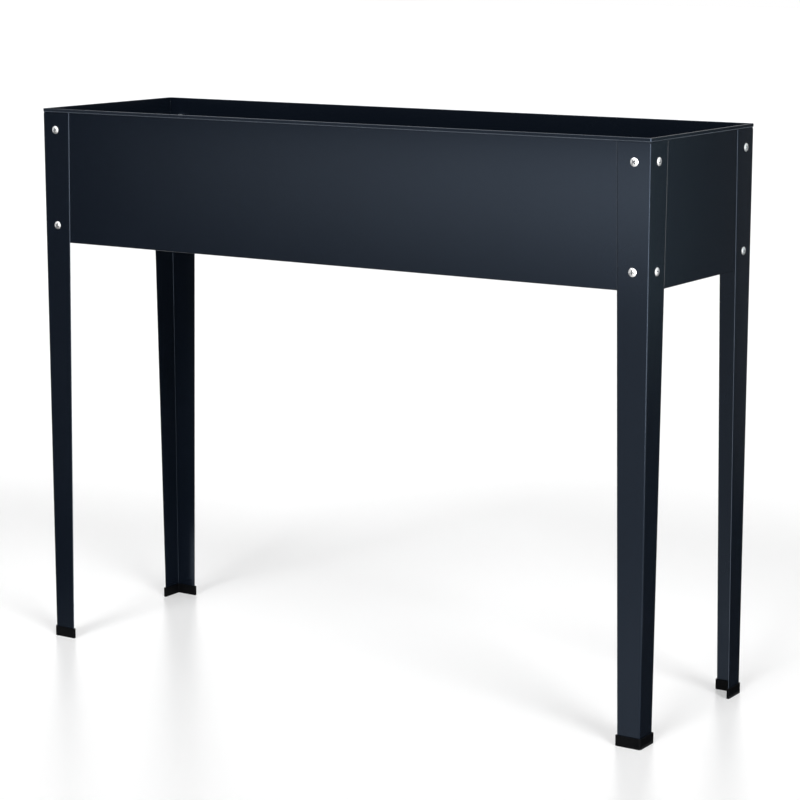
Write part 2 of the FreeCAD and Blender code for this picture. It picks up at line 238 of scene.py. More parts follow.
def cross_plate(bm: BMesh, reach: Sequence[float], inner: Sequence[float]) -> None:
    """Lays out a flat cross about the origin, which is an oblong without its four corners.

    Args:
        bm: Empty mesh.
        reach: Half the oblong's length and width.
        inner: Where the corners that are left out begin, along its length and width.
    """
    bmesh.ops.create_grid(bm, x_segments=3, y_segments=3, size=1.0)
    for vert in bm.verts:
        for axis in (0, 1):
            lines = reach if abs(vert.co[axis]) > 0.5 else inner
            vert.co[axis] = math.copysign(lines[axis], vert.co[axis])
    corners = [
        face for face in bm.faces
        if all(abs(face.calc_center_median()[axis]) > inner[axis] for axis in (0, 1))
    ]
    bmesh.ops.delete(bm, geom=corners, context="FACES")


def extrude(bm: BMesh, face: BMFace, way: Vector) -> BMFace:
    """Draws a face out along a way. A face of a solid leaves no wall behind.

    Args:
        bm: Mesh that holds it.
        face: The face.
        way: How far it goes.

    Returns:
        The face at the new end.
    """
    made = bmesh.ops.extrude_face_region(bm, geom=[face, *face.edges])["geom"]
    bmesh.ops.translate(bm, vec=way, verts=only(BMVert, made))
    return only(BMFace, made)[0]


def slice_face(bm: BMesh, face: BMFace, point: Vector, normal: Vector) -> list[BMFace]:
    """Scores one face along a plane.

    Args:
        bm: Mesh that holds the face.
        face: Face to divide.
        point: A point of the plane.
        normal: The plane's normal.

    Returns:
        The face's parts.
    """
    geometry = [face, *face.edges, *face.verts]
    made = bmesh.ops.bisect_plane(
        bm, geom=geometry, dist=SLICE_TOLERANCE, plane_co=point, plane_no=normal)["geom"]
    return only(BMFace, made)


def saw_off(bm: BMesh, point: Vector, normal: Vector) -> None:
    """Cuts a solid along a plane, drops what lies beyond it and closes the end.

    Args:
        bm: The solid.
        point: A point of the plane.
        normal: Normal that points at the part to drop.
    """
    everything = [*bm.verts, *bm.edges, *bm.faces]
    made = bmesh.ops.bisect_plane(
        bm, geom=everything, dist=SLICE_TOLERANCE, plane_co=point, plane_no=normal, clear_outer=True)
    bmesh.ops.edgeloop_fill(bm, edges=only(BMEdge, made["geom_cut"]))


def open_wall(bm: BMesh, wall: BMFace, centre: Vector, axis: Vector, radius: float) -> list[BMEdge]:
    """Opens a round hole in one flat face.

    Args:
        bm: Mesh that holds the face.
        wall: The face, with the hole well inside it.
        centre: Point of the hole's axis.
        axis: Direction of the hole.
        radius: Radius of the hole.

    Returns:
        The hole's rim.
    """
    up = Y_AXIS if axis == Z_AXIS else Z_AXIS
    side = axis.cross(up)
    patch = wall
    for way in (side, -side, up, -up):
        parts = slice_face(bm, patch, centre + way * radius * PATCH_REACH, way)
        patch = next(part for part in parts if bmesh.geometry.intersect_face_point(part, centre))
    bmesh.ops.bisect_edges(bm, edges=patch.edges[:], cuts=HOLE_STEPS // len(patch.edges) - 1)
    bmesh.ops.inset_individual(bm, faces=[patch], thickness=radius * PATCH_BORDER, use_even_offset=True)
    for vert in patch.verts:
        along = axis * (vert.co - centre).dot(axis)
        spoke = vert.co - centre - along
        vert.co = centre + along + spoke.normalized() * radius
    rim = patch.edges[:]
    bmesh.ops.delete(bm, geom=[patch], context="FACES")
    return rim


def pierce(bm: BMesh, centre: Vector, axis: Vector, radius: float) -> None:
    """Drives a round hole through a sheet, or through a surface that has no thickness yet.

    Args:
        bm: Mesh of the sheet.
        centre: Point of the hole's axis.
        axis: Direction of the hole, square to the sheet.
        radius: Radius of the hole.
    """
    walls = [
        face for face in bm.faces
        if abs(face.normal.dot(axis)) > SQUARE_ON and bmesh.geometry.intersect_face_point(face, centre)
    ]
    rims = [open_wall(bm, wall, centre, axis, radius) for wall in walls]
    if len(rims) == 2:
        bmesh.ops.bridge_loops(bm, edges=rims[0] + rims[1])


def round_edges(
    bm: BMesh, edges: Sequence[BMEdge], radius: float, steps: int, gives_way: bool = False
) -> None:
    """Rounds chosen edges.

    Args:
        bm: Mesh that holds them.
        edges: Edges to round.
        radius: How far the rounding reaches from an edge.
        steps: Flats across the rounding.
        gives_way: Whether the radius shrinks where edges lie too close together.
    """
    bmesh.ops.bevel(
        bm, geom=list(edges), offset=radius, offset_type="OFFSET", segments=steps, profile=0.5,
        affect="EDGES", material=-1, clamp_overlap=gives_way)


def soften_cut_edges(bm: BMesh, radius: float) -> None:
    """Rounds every cut edge a little, as a coat of powder does.

    Args:
        bm: Closed mesh.
        radius: Radius that the coat leaves.
    """
    bm.normal_update()
    sharp = [edge for edge in bm.edges if edge.is_manifold and edge.calc_face_angle() > CUT_EDGE_TURN]
    round_edges(bm, sharp, radius, COAT_STEPS, gives_way=True)


def mesh_of(bm: BMesh, name: str) -> bpy.types.Mesh:
    """Turns a shaped mesh into one that an object can hold.

    Args:
        bm: Shaped mesh, which is used up.
        name: Name of the new mesh.

    Returns:
        The new mesh.
    """
    mesh = bpy.data.meshes.new(name)
    bm.to_mesh(mesh)
    bm.free()
    return mesh


def add_object(name: str, data: bpy.types.ID) -> bpy.types.Object:
    """Adds an object to the scene.

    Args:
        name: Name of the object.
        data: Mesh, light or camera that it holds.

    Returns:
        The object.
    """
    made = bpy.data.objects.new(name, data)
    bpy.context.scene.collection.objects.link(made)
    return made


# Finishes

def add_node(
    tree: bpy.types.NodeTree,
    kind: str,
    links: dict[str | int, bpy.types.NodeSocket] | None = None,
    values: dict[str | int, object] | None = None,
    **settings: object,
) -> bpy.types.Node:
    """Adds a shader node with its settings and links.

    Args:
        tree: Tree that takes the node.
        kind: Blender's name for the kind of node.
        links: Sockets that feed its inputs, by input.
        values: Numbers and colours of its unlinked inputs, by input.
        settings: The node's own properties.

    Returns:
        The node.
    """
    node = tree.nodes.new(kind)
    for name, setting in settings.items():
        setattr(node, name, setting)
    for name, value in (values or {}).items():
        node.inputs[name].default_value = value
    for name, socket in (links or {}).items():
        tree.links.new(socket, node.inputs[name])
    return node


@dataclass(frozen=True)
class Finish:
    """A surface finish: its name, the record's slot that it stands for, and two close tones."""

    name: str
    slot: str
    tone: str
    second_tone: str
    tone_size: float
    metallic: float
    roughness: tuple[float, float]
    grain_size: float
    grain_height: float
    specular_level: float = 0.5
    sheen_tint: str = "#ffffff"

    def material(self) -> bpy.types.Material:
        """The finish as a material, which is made once."""
        return bpy.data.materials.get(self.name) or self.make()

    def make(self) -> bpy.types.Material:
        """Builds the material.

        Returns:
            A material with drifting tone, grain that varies the gloss, and the grain's own relief.
        """
        material = bpy.data.materials.new(self.name)
        material.use_nodes = True
        tree = material.node_tree
        shader = tree.nodes["Principled BSDF"]
        shader.inputs["Metallic"].default_value = self.metallic
        shader.inputs["Specular IOR Level"].default_value = self.specular_level
        shader.inputs["Specular Tint"].default_value = linear(self.sheen_tint)

        place = add_node(tree, "ShaderNodeTexCoord").outputs["Object"]
        drift = add_node(
            tree, "ShaderNodeTexNoise", {"Vector": place},
            {"Scale": per_metre(self.tone_size), "Detail": TONE_DETAIL})
        tone = add_node(
            tree, "ShaderNodeMix", {MIX_FACTOR: drift.outputs["Fac"]},
            {MIX_A: linear(self.tone), MIX_B: linear(self.second_tone)}, data_type="RGBA")
        grain = add_node(
            tree, "ShaderNodeTexNoise", {"Vector": place},
            {"Scale": per_metre(self.grain_size), "Detail": GRAIN_DETAIL})
        gloss = add_node(
            tree, "ShaderNodeMapRange", {"Value": grain.outputs["Fac"]},
            {"To Min": self.roughness[0], "To Max": self.roughness[1]})
        relief = add_node(
            tree, "ShaderNodeBump", {"Height": grain.outputs["Fac"]},
            {"Strength": 1.0, "Distance": self.grain_height * MM})
        tree.links.new(tone.outputs[MIX_COLOUR], shader.inputs["Base Color"])
        tree.links.new(gloss.outputs["Result"], shader.inputs["Roughness"])
        tree.links.new(relief.outputs["Normal"], shader.inputs["Normal"])
        return material


# Polyester powder baked on steel sheet: a satin blue-black skin with faint orange peel, so reflections
# are soft at the edges. Its real peel is about 1 mm and is drawn coarser, because it would not show.
POWDER_COAT = Finish(
    name="satin_powder_coated_steel", slot="powder_coated_steel", tone="#0c121b", second_tone="#10161f",
    tone_size=120.0, metallic=0.0, roughness=(0.15, 0.22), grain_size=2.6, grain_height=0.006,
    specular_level=0.35, sheen_tint="#cfe4ff")

# The same coat painted paler on the legs' rolled free edges: a painted highlight, so that each edge reads
# as a light line.
PAINTED_EDGE_HIGHLIGHT = replace(
    POWDER_COAT, name="coat_painted_with_edge_highlight", tone="#4c525b", second_tone="#40464f",
    tone_size=30.0, roughness=(0.3, 0.42))

# The same coat painted paler still on the hem's lip: a painted highlight along the hem's lower edge.
PAINTED_LIP_HIGHLIGHT = replace(PAINTED_EDGE_HIGHLIGHT, name="coat_painted_with_lip_highlight", tone="#626973", second_tone="#545b64")

# Injection-moulded polyethylene with an eroded mould texture: black, with a dull even sheen.
MOULDED_FOOT = Finish(
    name="moulded_black_polyethylene", slot="moulded_foot", tone="#08090b", second_tone="#0c0d0f",
    tone_size=25.0, metallic=0.0, roughness=(0.42, 0.55), grain_size=0.7, grain_height=0.03,
    specular_level=0.03)

# Bright zinc plate on steel: silvery, a little blue, with cloudy gloss from the plating bath.
ZINC_SCREW = Finish(
    name="bright_zinc_plated_screw", slot="zinc_plated_screw", tone="#f0f0f0", second_tone="#e2e2e1",
    tone_size=3.0, metallic=1.0, roughness=(0.34, 0.46), grain_size=0.8, grain_height=0.006)

# The driving recess painted a darker grey zinc, which is painted shade so that the cross reads dark, with
# a duller gloss.
ZINC_WITH_PAINTED_RECESS_SHADE = replace(
    ZINC_SCREW, name="zinc_painted_with_recess_shade", tone="#85878a", second_tone="#6c6e70", tone_size=2.0,
    roughness=(0.42, 0.55))

# The same plate on pressed nuts: a little greyer, and smoother, so that their flats flash.
ZINC_NUT = replace(
    ZINC_SCREW, name="bright_zinc_plated_nut", slot="zinc_plated_nut", tone="#d4d8dd",
    second_tone="#c2c5c6", roughness=(0.24, 0.38))


# Sub-assemblies

class SubAssembly:
    """What all sub-assemblies do: they make pieces, and dress each in place of a node of the frame."""

    def build(self) -> Iterator[bpy.types.Object]:
        """Makes the pieces."""
        raise NotImplementedError

    def dress(
        self, bm: BMesh, node: str, make: str, place: Matrix, finish: Finish, *others: Finish
    ) -> bpy.types.Object:
        """Sets a mesh in place of a node and gives it its finish.

        Args:
            bm: Shaped mesh in millimetres, which is used up.
            node: Node that the piece stands for.
            make: How the piece is made, for its name.
            place: Carries the mesh into the bed's frame.
            finish: Its finish.
            others: Finishes of the faces with later material indices.

        Returns:
            The piece.
        """
        bmesh.ops.dissolve_degenerate(bm, dist=LEAST_EDGE, edges=bm.edges)
        bmesh.ops.transform(bm, matrix=Matrix.Scale(MM, 4) @ place, verts=bm.verts)
        bm.normal_update()
        for face in bm.faces:
            face.smooth = True
        name = f"{node}_{make}"
        mesh = mesh_of(bm, name)
        mesh.set_sharp_from_angle(angle=CUT_EDGE_TURN)
        for coat in (finish, *others):
            mesh.materials.append(coat.material())

        piece = add_object(name, mesh)
        weighted = piece.modifiers.new("flat_faces_stay_flat", "WEIGHTED_NORMAL")
        weighted.keep_sharp = True
        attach(piece, BODY)
        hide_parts(node)
        return piece


@dataclass
class FoldedPanels(SubAssembly):
    """Four panels folded from one sheet each: hemmed rim, web, and a ledge under the base.

    The hem's leaf hangs hem_gap before the web and leans back by hem_lean, and its lip slants up by
    lip_rise. The mitred tips lose tip_cut. Above a short step, whose lower and upper edges are rim_step
    below the hem, the ends reach rim_reach further.
    """

    sheet: float = 0.8
    hem_depth: float = 5.0
    hem_gap: float = 0.4
    hem_roll: float = 0.88
    hem_lean: float = 0.3
    lip_rise: float = 1.1
    lip_radius: float = 0.2
    tip_cut: float = 1.2
    rim_reach: float = 1.15
    rim_step: tuple[float, float] = (1.85, 1.6)
    fold_radius: float = 1.0
    coat_radius: float = 0.22

    def section(self, low: Vector, high: Vector) -> list[tuple[float, float, float]]:
        """Outline of the folded sheet, seen along the panel.

        Args:
            low: Lowest corner of the panel's box, facing -Y.
            high: Highest corner.

        Returns:
            Depth, height and radius of each corner.
        """
        leaf_back = low.y + self.sheet
        face = leaf_back + self.hem_gap
        back = face + self.sheet
        ledge_top = low.z + self.sheet
        hem_bottom = high.z - self.hem_depth
        return [
            (face, low.z, self.fold_radius + self.sheet),
            (face, high.z - self.sheet, 0.0),
            (leaf_back, high.z - self.sheet, 0.0),
            (leaf_back, hem_bottom, 0.0),
            (low.y, hem_bottom + self.lip_rise, self.lip_radius),
            (low.y + self.hem_lean, high.z, self.hem_roll),
            (back, high.z, self.hem_roll),
            (back, ledge_top, self.fold_radius),
            (high.y, ledge_top, self.coat_radius),
            (high.y, low.z, self.coat_radius),
        ]

    def close_rim(self, bm: BMesh, hem_bottom: float) -> None:
        """Draws the ends out above the heads of the legs, so that neighbouring hems meet at the corners.

        Args:
            bm: The panel with its mitred ends.
            hem_bottom: Height of the hem's lower edge.
        """
        for drop in self.rim_step:
            everything = [*bm.verts, *bm.edges, *bm.faces]
            level = Z_AXIS * (hem_bottom - drop)
            bmesh.ops.bisect_plane(
                bm, geom=everything, dist=SLICE_TOLERANCE, plane_co=level, plane_no=Z_AXIS)
        for vert in bm.verts:
            if vert.co.z > hem_bottom - min(self.rim_step) - SLICE_TOLERANCE:
                vert.co.x += math.copysign(self.rim_reach, vert.co.x)

    def shape(self, side: Side) -> BMesh:
        """Folds one panel, mitres its ends and pierces it for the screws.

        Args:
            side: Side of the bed.

        Returns:
            The panel, facing -Y.
        """
        low, high = side.front_box()
        bm = bmesh.new()
        # The section's own X and Y lie along the bed's Y and Z, at the panel's left end
        across = Matrix(((0, 0, 1, low.x), (1, 0, 0, 0), (0, 1, 0, 0), (0, 0, 0, 1)))
        end = outline_face(bm, self.section(low, high), across)
        extrude(bm, end, X_AXIS * (high.x - low.x))
        bmesh.ops.recalc_face_normals(bm, faces=bm.faces)
        for way, tip in ((1, high.x), (-1, low.x)):
            saw_off(bm, Vector((tip, low.y, 0)), Vector((way, 1, 0)).normalized())
            saw_off(bm, Vector((tip - way * self.tip_cut, low.y, 0)), Vector((way, -1, 0)).normalized())
        hem_bottom = high.z - self.hem_depth
        self.close_rim(bm, hem_bottom)
        bmesh.ops.recalc_face_normals(bm, faces=bm.faces)
        bm.normal_update()
        # The hem's lip takes the paler coat: a painted highlight
        for face in bm.faces:
            at_lip = abs(face.calc_center_median().z - hem_bottom) < self.lip_rise
            if at_lip and max(face.normal.y, face.normal.z) < -LIP_SLANT:
                face.material_index = 1
        inset = SCREW_INSET - LEG_SHEET
        for x in (low.x + inset, high.x - inset):
            for height in reversed(SCREW_HEIGHTS):
                pierce(bm, Vector((x, 0, height)), Y_AXIS, HOLE_RADIUS)
        return bm

    def build(self) -> Iterator[bpy.types.Object]:
        """Makes the four panels."""
        for side in Side:
            yield self.dress(self.shape(side), side.node, "folded", side.turn, POWDER_COAT, PAINTED_LIP_HIGHLIGHT)


@dataclass
class BaseTray(SubAssembly):
    """Base that drops in: a plate with turned-down edges, relieved at its corners and drained."""

    node: str = "base_tray"
    sheet: float = 0.8
    fold_radius: float = 1.0
    notch: float = 4.0
    coat_radius: float = 0.18
    drain_radius: float = 5.0
    drain_columns: tuple[float, ...] = (-360.0, -120.0, 120.0, 360.0)
    drain_rows: tuple[float, ...] = (-60.0, 60.0)

    def shape(self) -> BMesh:
        """Lays out the plate, turns its edges down, drains it and gives the sheet its thickness.

        Returns:
            The tray in the bed's frame.
        """
        low, high = box_of(self.node)
        bm = bmesh.new()
        cross_plate(bm, high.xy, high.xy - Vector((self.notch, self.notch)))
        bmesh.ops.translate(bm, vec=Z_AXIS * high.z, verts=bm.verts)
        folds = [
            edge for edge in bm.edges
            if any(all(abs(vert.co[axis]) > high[axis] - SLICE_TOLERANCE for vert in edge.verts)
                   for axis in (0, 1))
        ]
        made = bmesh.ops.extrude_edge_only(bm, edges=folds)["geom"]
        bmesh.ops.translate(bm, vec=Z_AXIS * (low.z - high.z), verts=only(BMVert, made))
        bmesh.ops.dissolve_limit(bm, angle_limit=FLAT_TURN, verts=bm.verts, edges=bm.edges)
        bmesh.ops.recalc_face_normals(bm, faces=bm.faces)

        folds = [edge for edge in bm.edges if len(edge.link_faces) == 2]
        round_edges(bm, folds, self.fold_radius + self.sheet, FOLD_STEPS)
        for x in self.drain_columns:
            for y in self.drain_rows:
                pierce(bm, Vector((x, y, high.z)), Z_AXIS, self.drain_radius)
        bmesh.ops.solidify(bm, geom=bm.faces[:], thickness=self.sheet)
        soften_cut_edges(bm, self.coat_radius)
        return bm

    def build(self) -> Iterator[bpy.types.Object]:
        """Makes the tray."""
        yield self.dress(self.shape(), self.node, "folded", Matrix.Identity(4), POWDER_COAT)


@dataclass
class AngleLegs(SubAssembly):
    """Four legs folded to an angle, sheared to a taper and notched at the head.

    The last roll_width of each free edge is rolled back by roll_depth, with a knee whose distance from
    the edge and depth are roll_knee.
    """

    sheet: float = LEG_SHEET
    foot_width: float = 34.0
    fold_radius: float = 1.0
    relief_width: float = 10.0
    relief_depth: float = 1.6
    roll_width: float = 1.7
    roll_depth: float = 0.78
    roll_knee: tuple[float, float] = (0.65, 0.34)
    knee_radius: float = 0.2
    roll_radius: float = 0.6
    coat_radius: float = 0.2

    def plan(self) -> list[tuple[float, float, float]]:
        """Outline of the angle at the foot, with its free edges rolled over.

        Returns:
            Two coordinates and the radius of each corner, from the angle's outer corner at the origin.
        """
        knee_inset, knee_depth = self.roll_knee
        return [
            (0.0, 0.0, self.fold_radius + self.sheet),
            (0.0, self.foot_width - self.roll_width, self.roll_radius),
            (-knee_depth, self.foot_width - knee_inset, self.knee_radius),
            (-self.roll_depth, self.foot_width, 0.0),
            (-self.sheet, self.foot_width, 0.0),
            (-self.sheet, self.sheet, self.fold_radius),
            (-self.foot_width, self.sheet, 0.0),
            (-self.foot_width, self.roll_depth, 0.0),
            (-self.foot_width + knee_inset, knee_depth, self.knee_radius),
            (-self.foot_width + self.roll_width, 0.0, self.roll_radius),
        ]

    def shear(self, bm: BMesh, low: float, high: float, head_width: float) -> None:
        """Widens the flanges with height, so that their free edges lean outwards.

        Args:
            bm: The leg with upright edges.
            low: Height of the foot end.
            high: Height of the head.
            head_width: Flange at the head.
        """
        edge_zone = self.foot_width - 2 * self.roll_width
        for vert in bm.verts:
            spread = (head_width - self.foot_width) * (vert.co.z - low) / (high - low)
            if vert.co.x < -edge_zone:
                vert.co.x -= spread
            if vert.co.y > edge_zone:
                vert.co.y += spread

    def shape(self, corner: Corner) -> BMesh:
        """Makes one leg in its corner's frame.

        Args:
            corner: Where the leg stands.

        Returns:
            The leg.
        """
        low, high = box_of(corner.leg_node)
        shoulder = high.z - self.relief_depth
        bm = bmesh.new()
        foot = outline_face(bm, self.plan(), Matrix.Translation((0, 0, low.z)))
        corner_top = extrude(bm, foot, Z_AXIS * (shoulder - low.z))
        for cut in (-X_AXIS, Y_AXIS):
            parts = slice_face(bm, corner_top, cut * self.relief_width + Z_AXIS * shoulder, cut)
            corner_top, flange = sorted(parts, key=lambda part: part.calc_center_median().dot(cut))
            extrude(bm, flange, Z_AXIS * self.relief_depth)
        bmesh.ops.recalc_face_normals(bm, faces=bm.faces)
        self.shear(bm, low.z, high.z, high.x - low.x)
        bm.normal_update()
        # The rolled free edges take the paler coat: a painted highlight
        for face in bm.faces:
            if face.normal.x * face.normal.y > ROLL_SLANT:
                face.material_index = 1
        for height in SCREW_HEIGHTS:
            pierce(bm, Vector((-SCREW_INSET, 0, height)), Y_AXIS, HOLE_RADIUS)
            pierce(bm, Vector((0, SCREW_INSET, height)), X_AXIS, HOLE_RADIUS)
        soften_cut_edges(bm, self.coat_radius)
        return bm

    def build(self) -> Iterator[bpy.types.Object]:
        """Makes the four legs."""
        for corner in Corner:
            leg = self.shape(corner)
            yield self.dress(leg, corner.leg_node, "folded", corner.place(), POWDER_COAT, PAINTED_EDGE_HIGHLIGHT)


@dataclass
class FootCaps(SubAssembly):
    """Moulded caps with an L-shaped socket, which clears the end of its leg by play."""

    wall: float = 1.6
    sole: float = 2.5
    play: float = 0.15
    fold_radius: float = 3.7
    inner_radius: float = 0.8
    end_radius: float = 1.2
    sole_radius: float = 0.9
    rim_radius: float = 0.35
    corner_steps: int = 4

    def shape(self, corner: Corner) -> BMesh:
        """Moulds one cap in its corner's frame.

        Args:
            corner: Where the cap stands.

        Returns:
            The cap.
        """
        low, high = box_of(corner.cap_node)
        shell = self.play + self.wall
        arm = high.x - low.x - shell
        inside = LEG_SHEET + shell
        bm = bmesh.new()
        sole = outline_face(bm, [
            (shell, -shell, self.fold_radius),
            (shell, arm, 0.0),
            (-inside, arm, 0.0),
            (-inside, inside, self.inner_radius),
            (-arm, inside, 0.0),
            (-arm, -shell, 0.0),
        ], Matrix.Identity(4))
        top = extrude(bm, sole, Z_AXIS * high.z)
        bmesh.ops.inset_region(
            bm, faces=[top], thickness=self.wall, use_even_offset=True, use_boundary=True)
        extrude(bm, top, Z_AXIS * (self.sole - high.z))
        bmesh.ops.recalc_face_normals(bm, faces=bm.faces)

        uprights = []
        for edge in bm.edges:
            first, second = (vert.co for vert in edge.verts)
            at_end = max(abs(first.x), abs(first.y)) > arm - SLICE_TOLERANCE
            if at_end and abs(first.z - second.z) > high.z - SLICE_TOLERANCE:
                uprights.append(edge)
        round_edges(bm, uprights, self.end_radius, self.corner_steps)
        around_sole = [
            edge for edge in bm.edges
            if all(vert.co.z < SLICE_TOLERANCE for vert in edge.verts)
        ]
        round_edges(bm, around_sole, self.sole_radius, self.corner_steps)
        soften_cut_edges(bm, self.rim_radius)
        return bm

    def build(self) -> Iterator[bpy.types.Object]:
        """Makes the four caps."""
        for corner in Corner:
            cap = self.shape(corner)
            yield self.dress(cap, corner.cap_node, "moulded", corner.place(), MOULDED_FOOT)


@dataclass
class Fasteners(SubAssembly):
    """Pan-head screws with a driving cross, and the hexagon nuts that draw them tight.

    The thread is a ridge that starts ridge_sink inside the core, so that its root stays covered.
    """

    head_radius: float = 5.7
    head_height: float = 2.3
    head_side: float = 0.4
    cross_arm: float = 3.3
    cross_half_width: float = 0.85
    cross_depth: float = 1.9
    cross_draft: float = 0.3
    length: float = 10.0
    core_radius: float = 2.5
    thread_radius: float = 3.0
    pitch: float = 1.0
    ridge_half_root: float = 0.46
    ridge_half_crest: float = 0.07
    ridge_sink: float = 0.125
    clamped: float = 1.8
    nut_sides: int = 6
    nut_flats: float = 10.0
    nut_height: float = 5.0
    nut_face_radius: float = 4.85
    nut_chamfer: float = math.radians(30)
    bore_play: float = 0.05
    bore_chamfer: float = 0.5
    round_steps: int = 48
    dome_steps: int = 6
    thread_steps: int = 24
    turn_between_heads: float = math.radians(67)

    def crown(self, radius: float) -> float:
        """Works out the head's dome.

        Args:
            radius: Distance from the screw's axis.

        Returns:
            Height there above the head's underside.
        """
        rise = self.head_height - self.head_side
        sphere = (self.head_radius ** 2 + rise ** 2) / (2 * rise)
        return self.head_height - sphere + math.sqrt(sphere ** 2 - radius ** 2)

    def next_ring(self, bm: BMesh, ring: list[BMEdge], radius: float, height: float) -> list[BMEdge]:
        """Draws a round edge loop out to another radius and height.

        Args:
            bm: Mesh that holds the loop.
            ring: Edges of the loop.
            radius: New radius about Z.
            height: New height.

        Returns:
            Edges of the new loop.
        """
        made = bmesh.ops.extrude_edge_only(bm, edges=ring)["geom"]
        for vert in only(BMVert, made):
            vert.co = Vector((vert.co.x, vert.co.y, 0)).normalized() * radius + Z_AXIS * height
        return only(BMEdge, made)

    def cross_recess(self, bm: BMesh) -> list[BMEdge]:
        """Sinks the driving cross into the crown.

        Args:
            bm: Empty mesh.

        Returns:
            The cross's mouth, with as many edges as the head has round it.
        """
        cross_plate(bm, [self.cross_arm] * 2, [self.cross_half_width] * 2)
        mouth = [edge for edge in bm.edges if edge.is_boundary]
        bmesh.ops.bisect_edges(bm, edges=mouth, cuts=self.round_steps // len(mouth) - 1)
        for vert in bm.verts:
            vert.co.z = self.crown(vert.co.xy.length)
        mouth = [edge for edge in bm.edges if edge.is_boundary]
        made = bmesh.ops.extrude_face_region(bm, geom=bm.faces[:])["geom"]
        floor = only(BMVert, made)
        bmesh.ops.scale(bm, vec=(self.cross_draft, self.cross_draft, 1), verts=floor)
        for vert in floor:
            vert.co.z = self.head_height - self.cross_depth
        kept = set(floor)
        lids = [face for face in bm.faces if not kept.intersection(face.verts)]
        bmesh.ops.delete(bm, geom=lids, context="FACES")
        # The recess takes the darker zinc: painted shade
        for face in bm.faces:
            face.material_index = 1
        return mouth

    def screw(self) -> BMesh:
        """Makes one screw.

        Returns:
            The screw along Z, with the underside of its head at the origin.
        """
        bm = bmesh.new()
        mouth = self.cross_recess(bm)
        crown_radius = self.cross_arm + (self.head_radius - self.cross_arm) / self.dome_steps
        made = bmesh.ops.create_circle(bm, segments=self.round_steps, radius=crown_radius)
        circle = list({edge for vert in made["verts"] for edge in vert.link_edges})
        bmesh.ops.translate(bm, vec=(0, 0, self.crown(crown_radius)), verts=made["verts"])
        for face in bmesh.ops.bridge_loops(bm, edges=mouth + circle)["faces"]:
            face.material_index = 0
        ring = circle
        first = math.asin(crown_radius / self.head_radius)
        for step in range(1, self.dome_steps + 1):
            radius = self.head_radius * math.sin(first + (QUARTER_TURN - first) * step / self.dome_steps)
            ring = self.next_ring(bm, ring, radius, self.crown(radius))
        tip = self.thread_radius - self.core_radius
        for radius, height in (
            (self.head_radius, tip / 2),
            (self.head_radius - tip / 2, 0.0),
            (self.thread_radius, 0.0),
            (self.core_radius, -tip),
            (self.core_radius, tip - self.length),
            (self.core_radius - tip, -self.length),
        ):
            ring = self.next_ring(bm, ring, radius, height)
        bmesh.ops.edgeloop_fill(bm, edges=ring)
        self.thread(bm, -self.length + self.pitch, -self.pitch)
        bmesh.ops.recalc_face_normals(bm, faces=bm.faces)
        return bm

    def thread(self, bm: BMesh, low: float, high: float) -> None:
        """Winds the thread's ridge round the core.

        Args:
            bm: The screw.
            low: Height of the ridge's start.
            high: Height of its end.
        """
        root = self.core_radius - self.ridge_sink
        section = [
            (root, -self.ridge_half_root),
            (self.thread_radius, -self.ridge_half_crest),
            (self.thread_radius, self.ridge_half_crest),
            (root, self.ridge_half_root),
        ]
        ridge = bm.faces.new([bm.verts.new((x, 0, low + z)) for x, z in section])
        turns = (high - low) / self.pitch
        steps = round(turns * self.thread_steps)
        bmesh.ops.spin(
            bm, geom=[ridge], cent=(0, 0, 0), axis=Z_AXIS, dvec=Z_AXIS * ((high - low) / steps),
            angle=turns * math.tau, steps=steps, use_merge=False, use_duplicate=False)

    def nut(self) -> BMesh:
        """Makes one nut.

        Returns:
            The nut on the screw's axis, with its upper face against the panel.
        """
        top = -self.clamped
        bottom = top - self.nut_height
        flat = self.nut_flats / 2
        side_turn = math.tau / self.nut_sides
        bore = self.thread_radius + self.bore_play
        mouth = bore + self.bore_chamfer
        bm = bmesh.new()
        made = bmesh.ops.create_circle(bm, segments=self.round_steps, radius=mouth)
        bmesh.ops.translate(bm, vec=Z_AXIS * top, verts=made["verts"])
        inner = bm.edges[:]
        ring = self.next_ring(bm, inner, self.nut_face_radius, top)
        for height, way in ((top, -1), (bottom, 1)):
            ring = self.next_ring(bm, ring, flat, height)
            for vert in {vert for edge in ring for vert in edge.verts}:
                turn = math.atan2(vert.co.y, vert.co.x) % side_turn - side_turn / 2
                corner = flat / math.cos(turn)
                vert.co.xy = vert.co.xy.normalized() * corner
                vert.co.z = height + way * (corner - self.nut_face_radius) * math.tan(self.nut_chamfer)
        for radius, height in (
            (self.nut_face_radius, bottom),
            (mouth, bottom),
            (bore, bottom + self.bore_chamfer),
            (bore, top - self.bore_chamfer),
        ):
            ring = self.next_ring(bm, ring, radius, height)
        bmesh.ops.bridge_loops(bm, edges=ring + inner)
        bmesh.ops.recalc_face_normals(bm, faces=bm.faces)
        return bm

    def places(self) -> list[Matrix]:
        """Places one leg's four fasteners, with their heads outward.

        Returns:
            Their frames in the corner's frame.
        """
        front = Matrix.Rotation(QUARTER_TURN, 4, "X")
        side = Matrix.Rotation(QUARTER_TURN, 4, "Y")
        found = []
        for height in SCREW_HEIGHTS:
            found.append(Matrix.Translation((-SCREW_INSET, 0, height)) @ front)
            found.append(Matrix.Translation((0, SCREW_INSET, height)) @ side)
        return found

    def set_of(self, single: bpy.types.Mesh, corner: Corner) -> BMesh:
        """Copies a fastener to one leg's four places, each turned as it was driven.

        Args:
            single: The fastener on its own axis.
            corner: The leg's corner.

        Returns:
            Four fasteners in the corner's frame.
        """
        bm = bmesh.new()
        places = self.places()
        for index, place in enumerate(places):
            turn = Matrix.Rotation((corner.value * len(places) + index) * self.turn_between_heads, 4, "Z")
            before = len(bm.verts)
            bm.from_mesh(single)
            bmesh.ops.transform(bm, matrix=place @ turn, verts=bm.verts[before:])
        return bm

